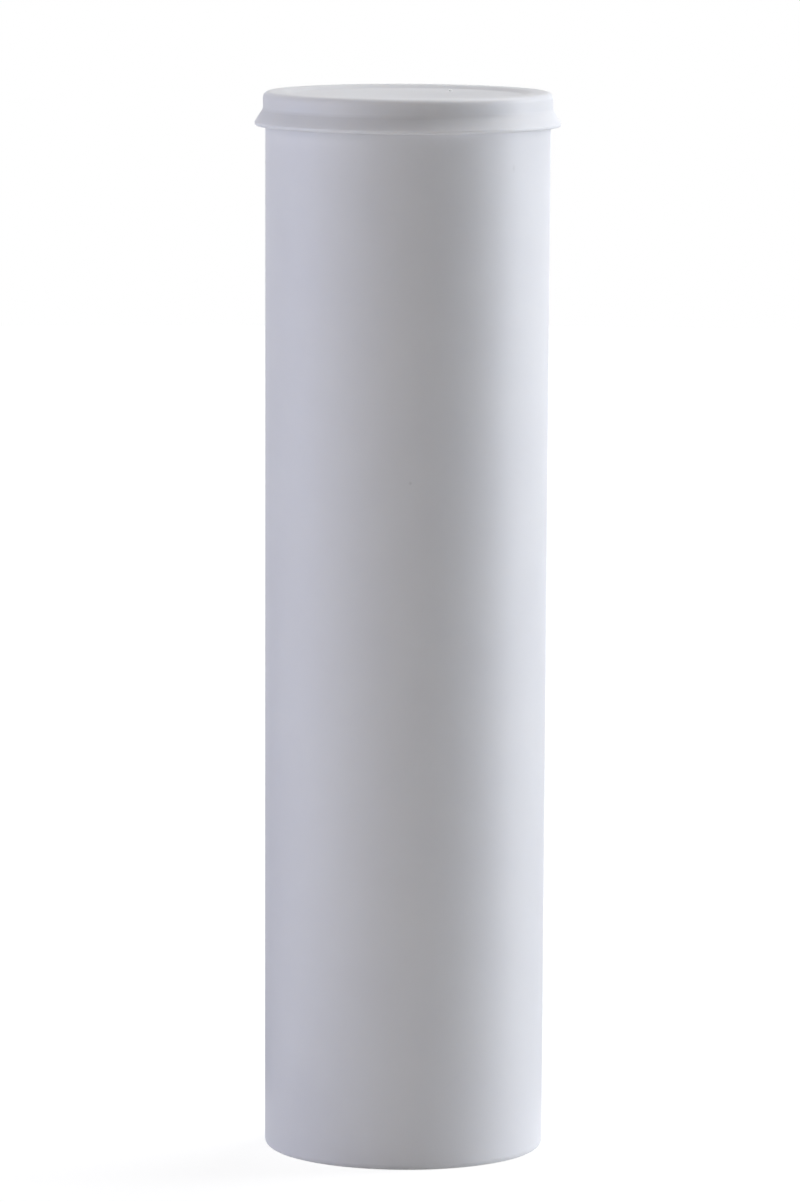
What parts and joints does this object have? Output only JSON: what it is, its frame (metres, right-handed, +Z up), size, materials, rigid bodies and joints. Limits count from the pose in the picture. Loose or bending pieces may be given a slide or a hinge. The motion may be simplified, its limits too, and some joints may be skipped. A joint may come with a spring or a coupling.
{
  "type": "tablet tube with desiccant stopper",
  "caption": "Tall round plastic tablet tube closed by a press-in stopper with a sunk top, a flared finger lip, a desiccant chamber and a springy spacer.",
  "frame": {"origin": "centre of the foot, on the plane that the tube stands on", "axes": "+Z up along the tube's axis, from the foot to the stopper; the picture looks along +Y with +X to its right"},
  "size_m": [0.0294, 0.0294, 0.1023],
  "materials": {
    "white_polypropylene": "satin",
    "white_polyethylene": "satin",
    "drying_granules": "matte",
    "disc_board": "matte"
  },
  "bodies": {
    "tube": {"tube": "white_polypropylene"},
    "stopper": {"stopper": "white_polyethylene", "desiccant": "drying_granules", "cardboard_disc": "disc_board"}
  },
  "joints": [
    {"name": "stopper_pull", "type": "slide", "parent": "tube", "child": "stopper", "axis": [0, 0, 1], "range_m": [0, 0.06]}
  ]
}
